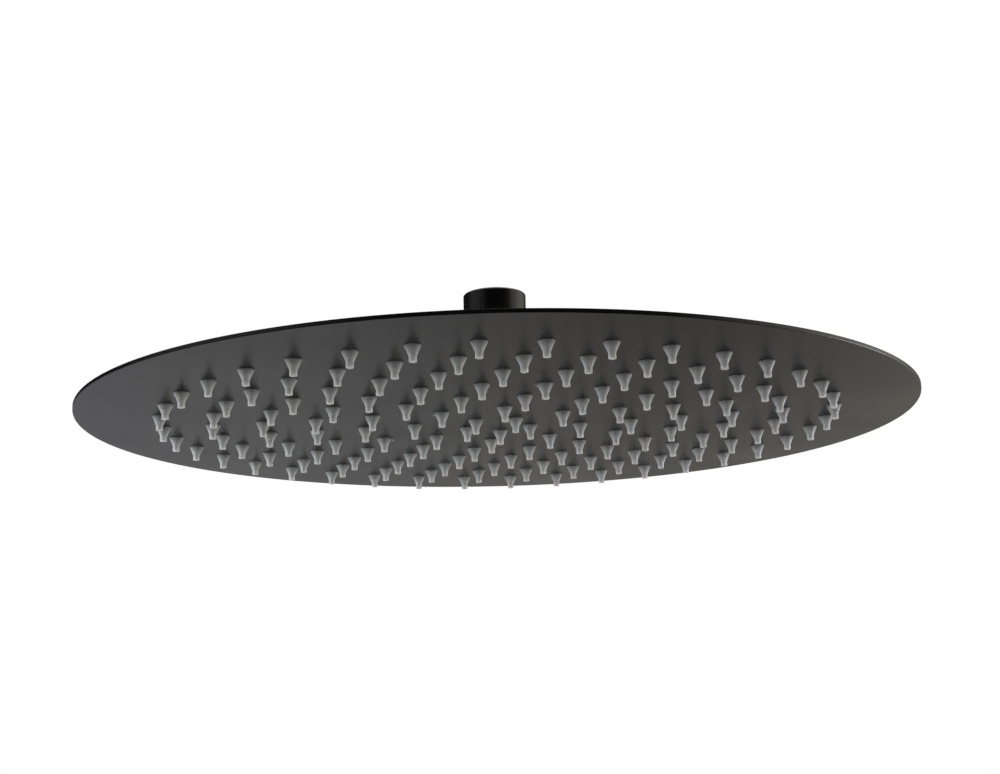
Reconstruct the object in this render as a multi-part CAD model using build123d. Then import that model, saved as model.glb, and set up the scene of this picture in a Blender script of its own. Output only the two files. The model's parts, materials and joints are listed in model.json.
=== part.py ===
from build123d import *
from math import asin, cos, hypot, pi, radians, sin, sqrt, tan
import os

# A ceiling rain shower head: a thin round spray plate on a swivel ball under a union nut.
# Millimetres. Origin at the mouth of the inlet nut, on the axis; +Z points up, out of the thread.

# Clearances
seat_gap = 0.02            # between faces that are pressed, brazed or welded together
run_gap = 0.05             # between a turning piece and its bearing, on the radius or along the axis

# Spray plate
plate_d = 350.0            # across the plate
face_t = 0.7               # sheet of the spray face
back_t = 0.8               # sheet of the back
face_crown = 1.94          # bulge of the face's middle below its rim
rim_flange = 9.0           # width of the ring where the two sheets are welded
edge_round = 0.25          # rounded edges of the rim
back_rise = 9.6            # height of the back's pad above its rim
pad_margin = 2.0           # flat of the pad around the neck's foot

# Spray nozzles, set in rings
ring_total = 7
first_ring_r = 14.1        # radius of the innermost ring
rim_margin = 34.6          # from the rim to the outermost ring
inner_ring_count = 5       # nozzles in the innermost ring
second_ring_count = 8      # nozzles in the next ring
ring_step_count = 6        # nozzles that each further ring gains
ring_start_deg = 229.8     # where the first nozzle of every ring stands
nozzle_base_d = 6.3
nozzle_tip_d = 2.8
nozzle_len = 5.96          # standing out of the face
nozzle_land = 0.2          # straight edge of the base
nozzle_tip_len = 2.1       # straight end of the nozzle
nozzle_sag = 0.08          # hollow of the flare between base and tip
nozzle_hole_d = 4.4        # hole in the face
nozzle_barb = 0.65         # how far the head inside reaches over the hole
nozzle_head_t = 1.2
nozzle_lead = 0.35         # bevel of the head
nozzle_jet_d = 1.1
nozzle_mouth_d = 2.6       # water's way in at the head

# Stays between the two sheets
stay_d = 6.0
inner_stay_count = 6
outer_stay_count = 12

# Inlet union nut, for a half-inch pipe thread
thread_minor_d = 18.631    # plain bore at the thread's crests
thread_len = 11.5
recess_d = 21.2            # room behind the thread
nut_wall = 2.8             # outside the recess
nut_floor = 3.5            # carries the tailpiece's flange
nut_flat_cut = 1.4         # depth of the two spanner flats
nut_flat_h = 8.0
nut_chamfer = 0.6

# Tailpiece, with its washer, screen and flow regulator
flange_pass = 0.2          # how much smaller than the thread's bore the flange is
flange_t = 2.5
tail_d = 13.2
tail_bore_d = 8.4
tail_shoulder = 1.0        # step that sits on the ball
tail_neck = 3.9            # free length between nut and ball
spigot_len = 6.1           # length held in the ball
regulator_wall = 1.4       # of the tailpiece around the regulator
regulator_h = 4.0
regulator_floor = 1.5
regulator_skirt = 1.5      # wall of the regulator's cup
regulator_post_d = 3.0
regulator_ring_d = 1.5     # section of the regulator's rubber ring
regulator_hole_d = 1.2
regulator_hole_count = 6
washer_t = 2.2
washer_slack = 1.3         # free height above the washer
washer_play = 0.7          # between the washer and the recess
washer_lip = 1.2           # how far the washer reaches over the screen
washer_bore_d = 12.0
screen_t = 0.4
screen_hole_d = 1.2
screen_pitch = 1.8

# Swivel ball and its seats
ball_d = 22.0
ball_shoulder = 0.25       # flat of the ball outside the tailpiece
ball_outlet_flat = 1.8     # flat around the bore at the bottom
tilt_deg = 15.0            # the plate tilts this far each way
tilt_spare_deg = 2.0       # ball that stays covered past the tilt
tilt_room = 0.5            # between the tailpiece and the collar's lip at full tilt
slip_wall = 2.1            # upper seat, outside the ball's equator
slip_lift = 0.4            # its lower face above the ball's middle
seat_wall = 1.2            # lower seat
seat_drop = 1.2            # its upper face below the ball's middle
seat_h = 5.4
seat_ring_d = 1.7          # section of the ring under the lower seat

# Socket and collar
socket_drop = 0.3          # the socket's mouth below the ball's middle
socket_wall = 2.6
socket_floor_t = 2.0
socket_outlet_room = 0.4   # between the ball and the floor's hole
foot_ledge = 5.2           # foot brazed to the back, outside the socket
foot_t = 1.6
collar_wall = 2.7
collar_lip_t = 1.5
collar_bevel = 3.5
collar_lift = 0.9          # the collar's lower edge above the foot
collar_flat_cut = 1.0
collar_flat_h = 7.0


# Places worked out from the sizes, from the mouth downwards
recess_h = flange_t + washer_t + washer_slack
recess_floor_z = -thread_len - recess_h
nut_h = thread_len + recess_h + nut_floor
nut_r = recess_d / 2 + nut_wall
flange_r = thread_minor_d / 2 - flange_pass
flange_z = recess_floor_z + run_gap
flange_top_z = flange_z + flange_t
tail_r = tail_d / 2
spigot_r = tail_r - tail_shoulder
ball_r = ball_d / 2
ball_flat_r = tail_r + ball_shoulder
ball_top = sqrt(ball_r**2 - ball_flat_r**2)
ball_z = -nut_h - tail_neck - seat_gap - ball_top
ball_bottom_flat_r = tail_bore_d / 2 + ball_outlet_flat
ball_bottom = sqrt(ball_r**2 - ball_bottom_flat_r**2)
seat_sphere_r = ball_r + run_gap
tilt = radians(tilt_deg)
slip_top = ball_r * cos(asin(ball_flat_r / ball_r) + radians(tilt_deg + tilt_spare_deg))
slip_r = ball_r + slip_wall
lip_z = slip_top + run_gap
lip_top = lip_z + collar_lip_t
lip_hole_r = lip_top * tan(tilt) + tail_r / cos(tilt) + tilt_room
socket_bore_r = ball_r + seat_wall
socket_r = socket_bore_r + socket_wall
seat_bottom = -seat_drop - seat_h
socket_floor = seat_bottom - seat_ring_d - 2 * seat_gap
socket_bottom = socket_floor - socket_floor_t
outlet_r = sqrt(max(ball_r**2 - socket_floor**2, 0.0)) + socket_outlet_room
foot_r = socket_r + foot_ledge
collar_r = socket_r + collar_wall
collar_bottom = socket_bottom + foot_t + collar_lift
plate_r = plate_d / 2
pad_r = foot_r + pad_margin
pad_z = ball_z + socket_bottom - seat_gap
rim_top_z = pad_z - back_rise
seam_z = rim_top_z - back_t
rim_z = seam_z - seat_gap - face_t
face_sphere_r = (plate_r**2 + face_crown**2) / (2 * face_crown)
face_sphere_z = rim_z - face_crown + face_sphere_r
flange_inner_r = plate_r - rim_flange
nozzle_hole_r = nozzle_hole_d / 2
outer_ring_r = plate_r - rim_margin
ring_pitch = (outer_ring_r - first_ring_r) / (ring_total - 1)


def turned(*lines):
    """Turn a closed outline, drawn as radius and height, about the upright axis."""
    outline = Curve() + list(lines)
    return revolve(make_face(Plane.XZ * outline), Axis.Z)


def turned_corners(*corners):
    """Turn a closed outline of straight lines between corners of radius and height."""
    return turned(Polyline(*corners, close=True))


def tube(inner_r, outer_r, low_z, high_z):
    """A plain ring between two radii and two heights."""
    return turned_corners((inner_r, low_z), (outer_r, low_z), (outer_r, high_z), (inner_r, high_z))


def rod(radius, low_z, high_z):
    """A plain upright cylinder on the axis."""
    return turned_corners((0, low_z), (radius, low_z), (radius, high_z), (0, high_z))


def around(count, radius, start_deg=0.0):
    """Points at equal angles on a circle about the axis."""
    angles = [radians(start_deg) + 2 * pi * i / count for i in range(count)]
    return [(radius * cos(a), radius * sin(a)) for a in angles]


def at_ball(solid):
    """Move a solid drawn about the ball's middle to its place."""
    return Pos(0, 0, ball_z) * solid


def two_flats(radius, cut, low_z, high_z):
    """The two slabs that a pair of spanner flats takes off a round piece."""
    height = high_z - low_z
    middle_z = (low_z + high_z) / 2
    slab = Box(2 * radius, cut, height)
    reach = radius - cut / 2
    return [Pos(0, side * reach, middle_z) * slab for side in (-1, 1)]


def connector_nut():
    """Round union nut with the inlet thread's bore, a recess and a holed floor."""
    thread_r = thread_minor_d / 2
    recess_r = recess_d / 2
    hole_r = tail_r + run_gap
    body = turned_corners(
        (thread_r, 0),
        (nut_r - nut_chamfer, 0),
        (nut_r, -nut_chamfer),
        (nut_r, -nut_h + nut_chamfer),
        (nut_r - nut_chamfer, -nut_h),
        (hole_r, -nut_h),
        (hole_r, recess_floor_z),
        (recess_r, recess_floor_z),
        (recess_r, -thread_len),
        (thread_r, -thread_len),
    )
    return body - two_flats(nut_r, nut_flat_cut, -nut_h, -nut_h + nut_flat_h)


def tailpiece():
    """Flanged tube that hangs in the nut and carries the ball on its spigot."""
    bore_r = tail_bore_d / 2
    pocket_r = tail_r - regulator_wall
    pocket_z = flange_top_z - regulator_h
    shoulder_z = ball_z + ball_top + seat_gap
    return turned_corners(
        (pocket_r, flange_top_z),
        (flange_r, flange_top_z),
        (flange_r, flange_z),
        (tail_r, flange_z),
        (tail_r, shoulder_z),
        (spigot_r, shoulder_z),
        (spigot_r, shoulder_z - spigot_len),
        (bore_r, shoulder_z - spigot_len),
        (bore_r, pocket_z),
        (pocket_r, pocket_z),
    )


def inlet_washer():
    """Flat rubber washer on the tailpiece, with a groove inside that holds the screen."""
    low_z = flange_top_z + seat_gap
    outer_r = recess_d / 2 - washer_play
    groove_r = washer_bore_d / 2 + washer_lip
    middle_z = low_z + washer_t / 2
    half_groove = screen_t / 2 + seat_gap
    ring = tube(washer_bore_d / 2, outer_r, low_z, low_z + washer_t)
    return ring - rod(groove_r, middle_z - half_groove, middle_z + half_groove)


def filter_screen():
    """Thin perforated disc that keeps grit out, held by the washer's groove."""
    middle_z = flange_top_z + seat_gap + washer_t / 2
    outer_r = washer_bore_d / 2 + washer_lip - seat_gap
    open_r = washer_bore_d / 2 - screen_hole_d / 2
    disc = rod(outer_r, middle_z - screen_t / 2, middle_z + screen_t / 2)
    row_pitch = screen_pitch * sqrt(3) / 2
    rows = int(open_r / row_pitch)
    punch = rod(screen_hole_d / 2, middle_z - screen_t, middle_z + screen_t)
    punches = []
    for row in range(-rows, rows + 1):
        shift = screen_pitch / 2 if row % 2 else 0.0
        columns = int(open_r / screen_pitch) + 1
        for column in range(-columns, columns + 1):
            x = column * screen_pitch + shift
            y = row * row_pitch
            if hypot(x, y) < open_r:
                punches.append(Pos(x, y, 0) * punch)
    return disc - punches


def regulator_sizes():
    """Radii and heights shared by the flow regulator's cup and its rubber ring."""
    outer_r = tail_r - regulator_wall - seat_gap
    inner_r = outer_r - regulator_skirt
    low_z = flange_top_z - regulator_h + seat_gap
    high_z = flange_top_z
    return outer_r, inner_r, low_z, high_z


def flow_regulator():
    """Plastic cup with a post and outlet holes that limits the flow."""
    outer_r, inner_r, low_z, high_z = regulator_sizes()
    floor_z = low_z + regulator_floor
    post_r = regulator_post_d / 2
    cup = turned_corners(
        (0, low_z),
        (outer_r, low_z),
        (outer_r, high_z),
        (inner_r, high_z),
        (inner_r, floor_z),
        (post_r, floor_z),
        (post_r, high_z),
        (0, high_z),
    )
    drill = rod(regulator_hole_d / 2, low_z - seat_gap, floor_z + seat_gap)
    hole_circle_r = (inner_r + post_r) / 2
    holes = around(regulator_hole_count, hole_circle_r)
    return cup - [Pos(x, y, 0) * drill for x, y in holes]


def regulator_ring():
    """Rubber ring around the regulator's post that swells with the pressure."""
    _, inner_r, low_z, _ = regulator_sizes()
    section_r = regulator_ring_d / 2
    middle_r = (inner_r + regulator_post_d / 2) / 2
    return Pos(0, 0, low_z + regulator_floor + section_r + seat_gap) * Torus(middle_r, section_r)


def swivel_ball():
    """Bored ball, flat at the top for the tailpiece's shoulder and at the outlet."""
    bore_r = tail_bore_d / 2
    socket_z = ball_top - spigot_len - seat_gap
    ball = Sphere(ball_r) & rod(ball_r + run_gap, -ball_bottom, ball_top)
    ball = ball - rod(bore_r, -ball_r, ball_r) - rod(spigot_r + seat_gap, socket_z, ball_r)
    return at_ball(ball)


def slip_ring():
    """Upper plastic seat between the ball and the collar."""
    ring = tube(0.5 * ball_r, slip_r, slip_lift, slip_top)
    return at_ball(ring - Sphere(seat_sphere_r))


def ball_seat():
    """Lower plastic seat that the ball turns in."""
    ring = tube(0.5 * ball_r, socket_bore_r - run_gap, seat_bottom, -seat_drop)
    return at_ball(ring - Sphere(seat_sphere_r))


def seat_ring():
    """Rubber ring that presses the lower seat against the ball."""
    section_r = seat_ring_d / 2
    middle_r = socket_bore_r - run_gap - section_r
    return at_ball(Pos(0, 0, seat_bottom - seat_gap - section_r) * Torus(middle_r, section_r))


def retaining_collar():
    """Threaded collar over the socket, whose lip keeps the upper seat and the ball in."""
    slip_bore_r = slip_r + run_gap
    thread_r = socket_r + seat_gap
    step_z = -socket_drop + seat_gap
    body = turned_corners(
        (lip_hole_r, lip_z),
        (lip_hole_r, lip_top),
        (collar_r - collar_bevel, lip_top),
        (collar_r, lip_top - collar_bevel),
        (collar_r, collar_bottom),
        (thread_r, collar_bottom),
        (thread_r, step_z),
        (slip_bore_r, step_z),
        (slip_bore_r, lip_z),
    )
    flats = two_flats(collar_r, collar_flat_cut, collar_bottom, collar_bottom + collar_flat_h)
    return at_ball(body - flats)


def socket_neck():
    """Cup under the ball, with a foot that is brazed to the back sheet."""
    return at_ball(turned_corners(
        (outlet_r, socket_bottom),
        (foot_r, socket_bottom),
        (foot_r, socket_bottom + foot_t),
        (socket_r, socket_bottom + foot_t),
        (socket_r, -socket_drop),
        (socket_bore_r, -socket_drop),
        (socket_bore_r, socket_floor),
        (outlet_r, socket_floor),
    ))


def face_height(radius, above=0.0):
    """Height of the face's outer skin at a radius, or of a skin that lies above it."""
    return face_sphere_z - sqrt((face_sphere_r - above)**2 - radius**2)


def face_arc(start_r, end_r, above):
    """Arc in a skin of the crowned face between two radii."""
    middle_r = (start_r + end_r) / 2
    points = [(r, face_height(r, above)) for r in (start_r, middle_r, end_r)]
    return ThreePointArc(*points)


def rim_round(corner_z, side):
    """Rounded edge of the rim, for a sheet that lies above it (side 1) or below it (side -1)."""
    middle_r = plate_r - edge_round
    middle_z = corner_z + side * edge_round
    bulge = edge_round * sqrt(0.5)
    return ThreePointArc(
        (middle_r, corner_z),
        (middle_r + bulge, middle_z - side * bulge),
        (plate_r, middle_z),
    )


def back_skin(drop, outer_r):
    """Corners of the back's pad, slope and flange, lowered from its upper skin."""
    above = face_t + seat_gap + back_t - drop
    return [
        (pad_r, pad_z - drop),
        (flange_inner_r, face_height(flange_inner_r, above)),
        (outer_r, face_height(outer_r, above)),
    ]


def back_plate():
    """Pressed back sheet: a flat pad, a shallow cone and a flange that follows the face."""
    top = back_skin(0.0, plate_r - edge_round)
    low = back_skin(back_t, plate_r)
    edge = rim_round(top[-1][1], -1)
    upper = Polyline((outlet_r, pad_z), *top)
    lower = Polyline(edge @ 1, *reversed(low), (outlet_r, pad_z - back_t), (outlet_r, pad_z))
    return turned(upper, edge, lower)


def nozzle_place(x, y):
    """Plane on the face's outer skin, looking straight out of it."""
    z = face_height(hypot(x, y))
    outward = Vector(x, y, z - face_sphere_z)
    return Plane(origin=(x, y, z), z_dir=outward)


def ring_count(ring):
    """Nozzles in a ring, counted from the middle."""
    if ring == 0:
        return inner_ring_count
    return second_ring_count + (ring - 1) * ring_step_count


def ring_places(ring):
    """Planes of all nozzles in a ring."""
    radius = first_ring_r + ring * ring_pitch
    return [nozzle_place(x, y) for x, y in around(ring_count(ring), radius, ring_start_deg)]


def face_plate():
    """Crowned spray face with a hole for every nozzle."""
    low = face_arc(0, plate_r - edge_round, 0.0)
    edge = rim_round((low @ 1).Y, 1)
    high = face_arc(plate_r, 0, face_t)
    rim = Line(edge @ 1, high @ 0)
    axis = Line(high @ 1, low @ 0)
    sheet = turned(low, edge, rim, high, axis)
    drill = Cylinder(nozzle_hole_r, 4 * face_t)
    places = [place for ring in range(ring_total) for place in ring_places(ring)]
    return sheet - [place.location * drill for place in places]


def nozzle():
    """One rubber nozzle, drawn with the face's outer skin at height 0 and its tip upwards."""
    base_r = nozzle_base_d / 2
    tip_r = nozzle_tip_d / 2
    jet_r = nozzle_jet_d / 2
    neck_r = nozzle_hole_r - seat_gap
    head_r = nozzle_hole_r + nozzle_barb
    head_z = -face_t - seat_gap
    inlet_z = head_z - nozzle_head_t
    flare_z = nozzle_len - nozzle_tip_len
    flare_middle_r = (base_r + tip_r) / 2 - nozzle_sag
    flare_middle_z = (nozzle_land + flare_z) / 2
    flare = ThreePointArc((base_r, nozzle_land), (flare_middle_r, flare_middle_z), (tip_r, flare_z))
    outside = Polyline(
        (nozzle_mouth_d / 2, inlet_z),
        (head_r - nozzle_lead, inlet_z),
        (head_r, inlet_z + nozzle_lead),
        (head_r, head_z),
        (neck_r, head_z),
        (neck_r, seat_gap),
        (base_r, seat_gap),
        (base_r, nozzle_land),
    )
    inside = Polyline(
        (tip_r, flare_z),
        (tip_r, nozzle_len),
        (jet_r, nozzle_len),
        (jet_r, flare_z),
        (nozzle_mouth_d / 2, inlet_z),
    )
    return turned(outside, flare, inside)


def nozzle_ring(ring):
    """All nozzles of one ring, as separate solids."""
    one = nozzle()
    return Compound([place.location * one for place in ring_places(ring)])


def stay_posts():
    """Posts between the sheets that keep the water's pressure from bulging them."""
    pad_low, flange_low, _ = back_skin(back_t + seat_gap, plate_r)
    floor = face_arc(0, flange_inner_r, face_t + seat_gap)
    walls = Polyline(floor @ 1, flange_low, pad_low, (0, pad_low[1]), floor @ 0)
    chamber = turned(floor, walls)
    post = rod(stay_d / 2, rim_z - face_crown, pad_z)
    inner_r = first_ring_r + (ring_total // 2 - 0.5) * ring_pitch
    outer_r = outer_ring_r - 0.5 * ring_pitch
    places = around(inner_stay_count, inner_r) + around(outer_stay_count, outer_r)
    return Compound([(Pos(x, y, 0) * post & chamber).solid() for x, y in places])


def save(name, solid):
    """Write one piece to its own file."""
    export_step(solid, f"parts/{name}.step")


os.makedirs("parts", exist_ok=True)
for piece in (
    connector_nut,
    tailpiece,
    inlet_washer,
    filter_screen,
    flow_regulator,
    regulator_ring,
    swivel_ball,
    slip_ring,
    ball_seat,
    seat_ring,
    retaining_collar,
    socket_neck,
    back_plate,
    face_plate,
    stay_posts,
):
    save(piece.__name__, piece())
for ring_index in range(ring_total):
    save(f"nozzles_ring_{ring_index + 1}", nozzle_ring(ring_index))
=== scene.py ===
"""Visual model of a rain shower head: a thin black spray plate on a swivel ball under an inlet nut."""

import json
import logging
import random
from dataclasses import dataclass, field
from enum import Enum
from functools import cache
from math import acos, asin, cos, degrees, dist, hypot, radians, sin, sqrt, tau
from typing import Any, Iterable, NamedTuple, Sequence

import bmesh
import bpy
from bmesh.types import BMEdge, BMesh, BMFace, BMVert
from bpy.types import Material, NodeSocket, Object
from mathutils import Color, Matrix, Vector


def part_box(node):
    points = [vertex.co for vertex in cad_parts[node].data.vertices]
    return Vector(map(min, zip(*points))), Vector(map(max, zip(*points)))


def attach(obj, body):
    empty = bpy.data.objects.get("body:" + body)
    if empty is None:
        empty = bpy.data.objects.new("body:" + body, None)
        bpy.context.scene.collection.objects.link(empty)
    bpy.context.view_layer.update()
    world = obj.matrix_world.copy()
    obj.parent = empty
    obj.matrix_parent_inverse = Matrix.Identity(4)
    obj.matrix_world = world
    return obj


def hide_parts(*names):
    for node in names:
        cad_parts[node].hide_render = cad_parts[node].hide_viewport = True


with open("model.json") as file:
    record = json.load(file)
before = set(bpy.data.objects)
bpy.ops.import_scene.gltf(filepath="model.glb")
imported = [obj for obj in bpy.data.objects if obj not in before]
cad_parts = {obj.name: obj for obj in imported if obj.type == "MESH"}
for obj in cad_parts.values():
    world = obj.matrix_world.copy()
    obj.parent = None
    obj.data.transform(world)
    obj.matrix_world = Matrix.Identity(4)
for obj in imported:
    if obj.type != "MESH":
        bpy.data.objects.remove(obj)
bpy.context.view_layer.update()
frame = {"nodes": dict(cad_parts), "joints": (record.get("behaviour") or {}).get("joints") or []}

LOG = logging.getLogger("shower_head")
MM = 0.001
MERGE_MM = 0.0005
SHARP_DEG = 40.0
ALONG = "along"

# Inputs of the textures that make patches, grain and turning marks
PATCH_NOISE = {"Detail": 4.0, "Roughness": 0.6}
PATCH_SPAN = (0.3, 0.7)
GRAIN_NOISE = {"Detail": 2.0}
RING_WAVE = {"Distortion": 0.6, "Detail": 1.0, "Detail Scale": 2.0}
RING_STRENGTH = 0.6
# How far red, green and blue light go under a surface, against each other
SCATTER_RADII = (1.0, 0.95, 0.9)
RANGE_INPUTS = ("From Min", "From Max", "To Min", "To Max")
# Places of the colours among a mix node's sockets
FIRST_COLOUR, SECOND_COLOUR, MIXED_COLOUR = 6, 7, 2

Key = str | int
Corner = tuple[float, float]
Span = tuple[float, float]
Place = tuple[float, float, float]


class Slot(str, Enum):
    """Material slots of the record."""

    PLATE = "black_plate"
    BLACK_BRASS = "black_brass"
    BRASS = "bare_brass"
    BALL = "chromed_ball"
    STEEL = "bare_steel"
    RUBBER = "seal_rubber"
    SEAT = "seat_plastic"
    REGULATOR = "regulator_plastic"
    SILICONE = "nozzle_silicone"


class Body(str, Enum):
    """Moving bodies of the part."""

    INLET = "inlet"
    STEM = "stem"
    SEATS = "ball_seats"
    HEAD = "head"


class Reach(Enum):
    """What a softbox does: light surfaces, show in their gloss, or both."""

    FILL = "fill"
    SHEEN = "sheen"
    BOTH = "both"


# Node and colour helpers


def linear(hex_code: str) -> tuple[float, ...]:
    """Turn an sRGB hex colour into linear red, green and blue with an alpha of 1."""
    levels = [byte / 255 for byte in bytes.fromhex(hex_code.lstrip("#"))]
    return *Color(levels).from_srgb_to_scene_linear(), 1.0


@dataclass(frozen=True)
class Nodes:
    """Shader nodes of a material or of the surroundings, which start empty."""

    owner: Material | bpy.types.World

    def __post_init__(self) -> None:
        """Switch the owner's nodes on and clear those that it starts with."""
        self.owner.use_nodes = True
        self.owner.node_tree.nodes.clear()

    def add(self, kind: str, inputs: dict[Key, Any], output: Key = 0, **settings: Any) -> NodeSocket:
        """Add one shader node, with its settings, and fill or link its inputs.

        Args:
            kind: Type of the node, without the words ShaderNode before it.
            inputs: Input name or index to a value, or to the socket that feeds it.
            output: Name or index of the output that is asked for.
            **settings: Attributes of the node.

        Returns:
            That output.
        """
        tree = self.owner.node_tree
        node = tree.nodes.new(f"ShaderNode{kind}")
        for key, value in settings.items():
            setattr(node, key, value)
        for key, value in inputs.items():
            if isinstance(value, NodeSocket):
                tree.links.new(value, node.inputs[key])
            else:
                node.inputs[key].default_value = value
        return node.outputs[output]

    def remap(self, value: NodeSocket, start: Span = (0.0, 1.0), end: Span = (0.0, 1.0),
              smooth: bool = False) -> NodeSocket:
        """Map a value from one range to another, and no further than its ends."""
        inputs = {"Value": value, **dict(zip(RANGE_INPUTS, (*start, *end)))}
        return self.add("MapRange", inputs, interpolation_type="SMOOTHSTEP" if smooth else "LINEAR")

    def mix(self, share: NodeSocket, first: Any, second: Any) -> NodeSocket:
        """Mix two colours, given as linear values or sockets, by the share of the second."""
        inputs = {"Factor": share, FIRST_COLOUR: first, SECOND_COLOUR: second}
        return self.add("Mix", inputs, MIXED_COLOUR, data_type="RGBA")

    def end(self, shader: NodeSocket) -> None:
        """Put a shader out as the surface of the material or of the surroundings."""
        output = self.owner.node_tree.nodes.new(f"ShaderNodeOutput{type(self.owner).__name__}")
        self.owner.node_tree.links.new(shader, output.inputs["Surface"])

    def end_split(self, lit: NodeSocket, seen: NodeSocket) -> None:
        """End the stage's nodes with one shader for light and reflections and another for the camera."""
        ray = self.add("LightPath", {}, "Is Camera Ray")
        self.end(self.add("MixShader", {"Fac": ray, 1: lit, 2: seen}))


# Finishes


@dataclass(frozen=True)
class Finish:
    """One real surface: a principled shader with a fine relief and an uneven gloss.

    Attributes:
        slot: Slot of the record that it stands for; not used.
        patch_colour: Colour of the patches that are less clean or more worn.
        roughness: Lowest and highest roughness over the surface.
        mottle_mm: Width of the patches in which colour and roughness wander.
        grain_mm: Width of the surface's grain.
        ior: Index of refraction of a coating, plastic or rubber.
        scatter: Weight of the light that goes under the surface.
        scatter_mm: How far that light goes.
        ring_mm: Pitch of turning marks around the axis, or 0 for none.
        root_colour: Painted shade at a nozzle's base, where the point value along is 0: the root is drawn
            darker than the tip, as it looks where the thick base sits in shade against the dark face; none
            where it is empty.
        root_share: Share of a nozzle's length over which that painted shade goes over to the tip's colour.
    """

    name: str
    slot: Slot
    colour: str
    patch_colour: str
    roughness: Span
    mottle_mm: float
    grain_mm: float
    grain_depth_mm: float = 0.002
    metallic: float = 0.0
    ior: float = 1.5
    scatter: float = 0.0
    scatter_mm: float = 0.5
    ring_mm: float = 0.0
    root_colour: str = ""
    root_share: float = 0.85

    @cache
    def material(self) -> Material:
        """Build the material's node tree when it is first asked for.

        Returns:
            The material.
        """
        made = bpy.data.materials.new(self.name)
        nodes = Nodes(made)
        place = nodes.add("TexCoord", {}, "Object")
        mottle = {**PATCH_NOISE, "Vector": place, "Scale": 1 / (self.mottle_mm * MM)}
        patches = nodes.remap(nodes.add("TexNoise", mottle, "Fac"), PATCH_SPAN)
        colour = nodes.mix(patches, linear(self.colour), linear(self.patch_colour))
        # On a nozzle, painted shade: the colour darkens towards the root and goes over to the tip's colour
        # along the length
        if self.root_colour:
            along = nodes.add("Attribute", {}, "Fac", attribute_name=ALONG)
            share = nodes.remap(along, (0.0, self.root_share))
            colour = nodes.mix(share, linear(self.root_colour), colour)
        nodes.end(nodes.add("BsdfPrincipled", {
            "Base Color": colour,
            "Roughness": nodes.remap(patches, end=self.roughness),
            "Normal": self._relief(nodes, place),
            "Metallic": self.metallic,
            "IOR": self.ior,
            "Subsurface Weight": self.scatter,
            "Subsurface Radius": SCATTER_RADII,
            "Subsurface Scale": self.scatter_mm * MM,
        }))
        return made

    def _relief(self, nodes: Nodes, place: NodeSocket) -> NodeSocket:
        """Bump of the grain, with the turning marks over it where the piece was turned.

        Args:
            nodes: The material's nodes.
            place: Object coordinates.

        Returns:
            The bent normal.
        """
        depth = self.grain_depth_mm * MM
        grain = {**GRAIN_NOISE, "Vector": place, "Scale": 1 / (self.grain_mm * MM)}
        height = nodes.add("TexNoise", grain, "Fac")
        bent = nodes.add("Bump", {"Height": height, "Distance": depth, "Strength": 1.0})
        if not self.ring_mm:
            return bent
        rings = {**RING_WAVE, "Vector": place, "Scale": 1 / (self.ring_mm * MM) / tau}
        marks = nodes.add("TexWave", rings, "Fac", bands_direction="Z")
        return nodes.add("Bump", {
            "Height": marks, "Distance": depth, "Strength": RING_STRENGTH, "Normal": bent,
        })


# Baked satin paint on stainless sheet: a dark, even skin whose gloss shows only at a low angle
PLATE_PAINT = Finish("satin_black_baked_paint", Slot.PLATE, "#0b0b0c", "#0e0e0e", (0.28, 0.32),
                     mottle_mm=60.0, grain_mm=0.45, grain_depth_mm=0.0005)
# The same paint over turned brass, about as smooth, with the turning marks just showing through
BRASS_PAINT = Finish("satin_black_paint_on_turned_brass", Slot.BLACK_BRASS, "#0a0a0b", "#0d0d0d",
                     (0.27, 0.32), mottle_mm=8.0, grain_mm=0.4, grain_depth_mm=0.0008, ring_mm=0.35)
# Bare turned brass: warm metal with fine turning rings, browner where it has begun to tarnish
TURNED_BRASS = Finish("turned_brass", Slot.BRASS, "#cfaa63", "#a98443", (0.22, 0.34),
                      mottle_mm=5.0, grain_mm=0.3, grain_depth_mm=0.001, metallic=1.0, ring_mm=0.25)
# Polished nickel-chrome plating on the ball: nearly a mirror, with faint handling haze
BALL_CHROME = Finish("polished_chrome_plating", Slot.BALL, "#cbccce", "#c3c4c8", (0.06, 0.12),
                     mottle_mm=6.0, grain_mm=0.2, grain_depth_mm=0.0001, metallic=1.0)
# Stainless wire and studs: grey metal with a drawn, slightly dull skin
STAINLESS = Finish("drawn_stainless_steel", Slot.STEEL, "#bdbcb8", "#a5a39d", (0.28, 0.4),
                   mottle_mm=3.0, grain_mm=0.2, grain_depth_mm=0.0008, metallic=1.0)
# Moulded seal rubber: black, dull, faintly pitted, with a trace of pale bloom
SEAL_RUBBER = Finish("moulded_seal_rubber", Slot.RUBBER, "#121212", "#1d1d1c", (0.55, 0.68),
                     mottle_mm=3.0, grain_mm=0.25, grain_depth_mm=0.004)
# Acetal seats: off-white, waxy, light goes a little way in
ACETAL = Finish("moulded_acetal", Slot.SEAT, "#e6e4dc", "#dcd8cb", (0.38, 0.48),
                mottle_mm=4.0, grain_mm=0.4, ior=1.48, scatter=0.25, scatter_mm=1.0)
# Regulator cup: grey moulded plastic, evenly dull
GREY_PLASTIC = Finish("moulded_grey_plastic", Slot.REGULATOR, "#92979d", "#868b90", (0.4, 0.5),
                      mottle_mm=4.0, grain_mm=0.4, ior=1.48)
# Moulded silicone: soft sheen, light goes a little way in, so the thin tips look pale; the roots are drawn
# grey with painted shade
GREY_SILICONE = Finish("moulded_grey_silicone", Slot.SILICONE, "#dcdfe2", "#d4d7d9", (0.42, 0.54),
                       mottle_mm=2.0, grain_mm=0.35, grain_depth_mm=0.004, ior=1.41,
                       scatter=1.0, scatter_mm=4.0, root_colour="#87898b")


# Mesh helpers


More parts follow.
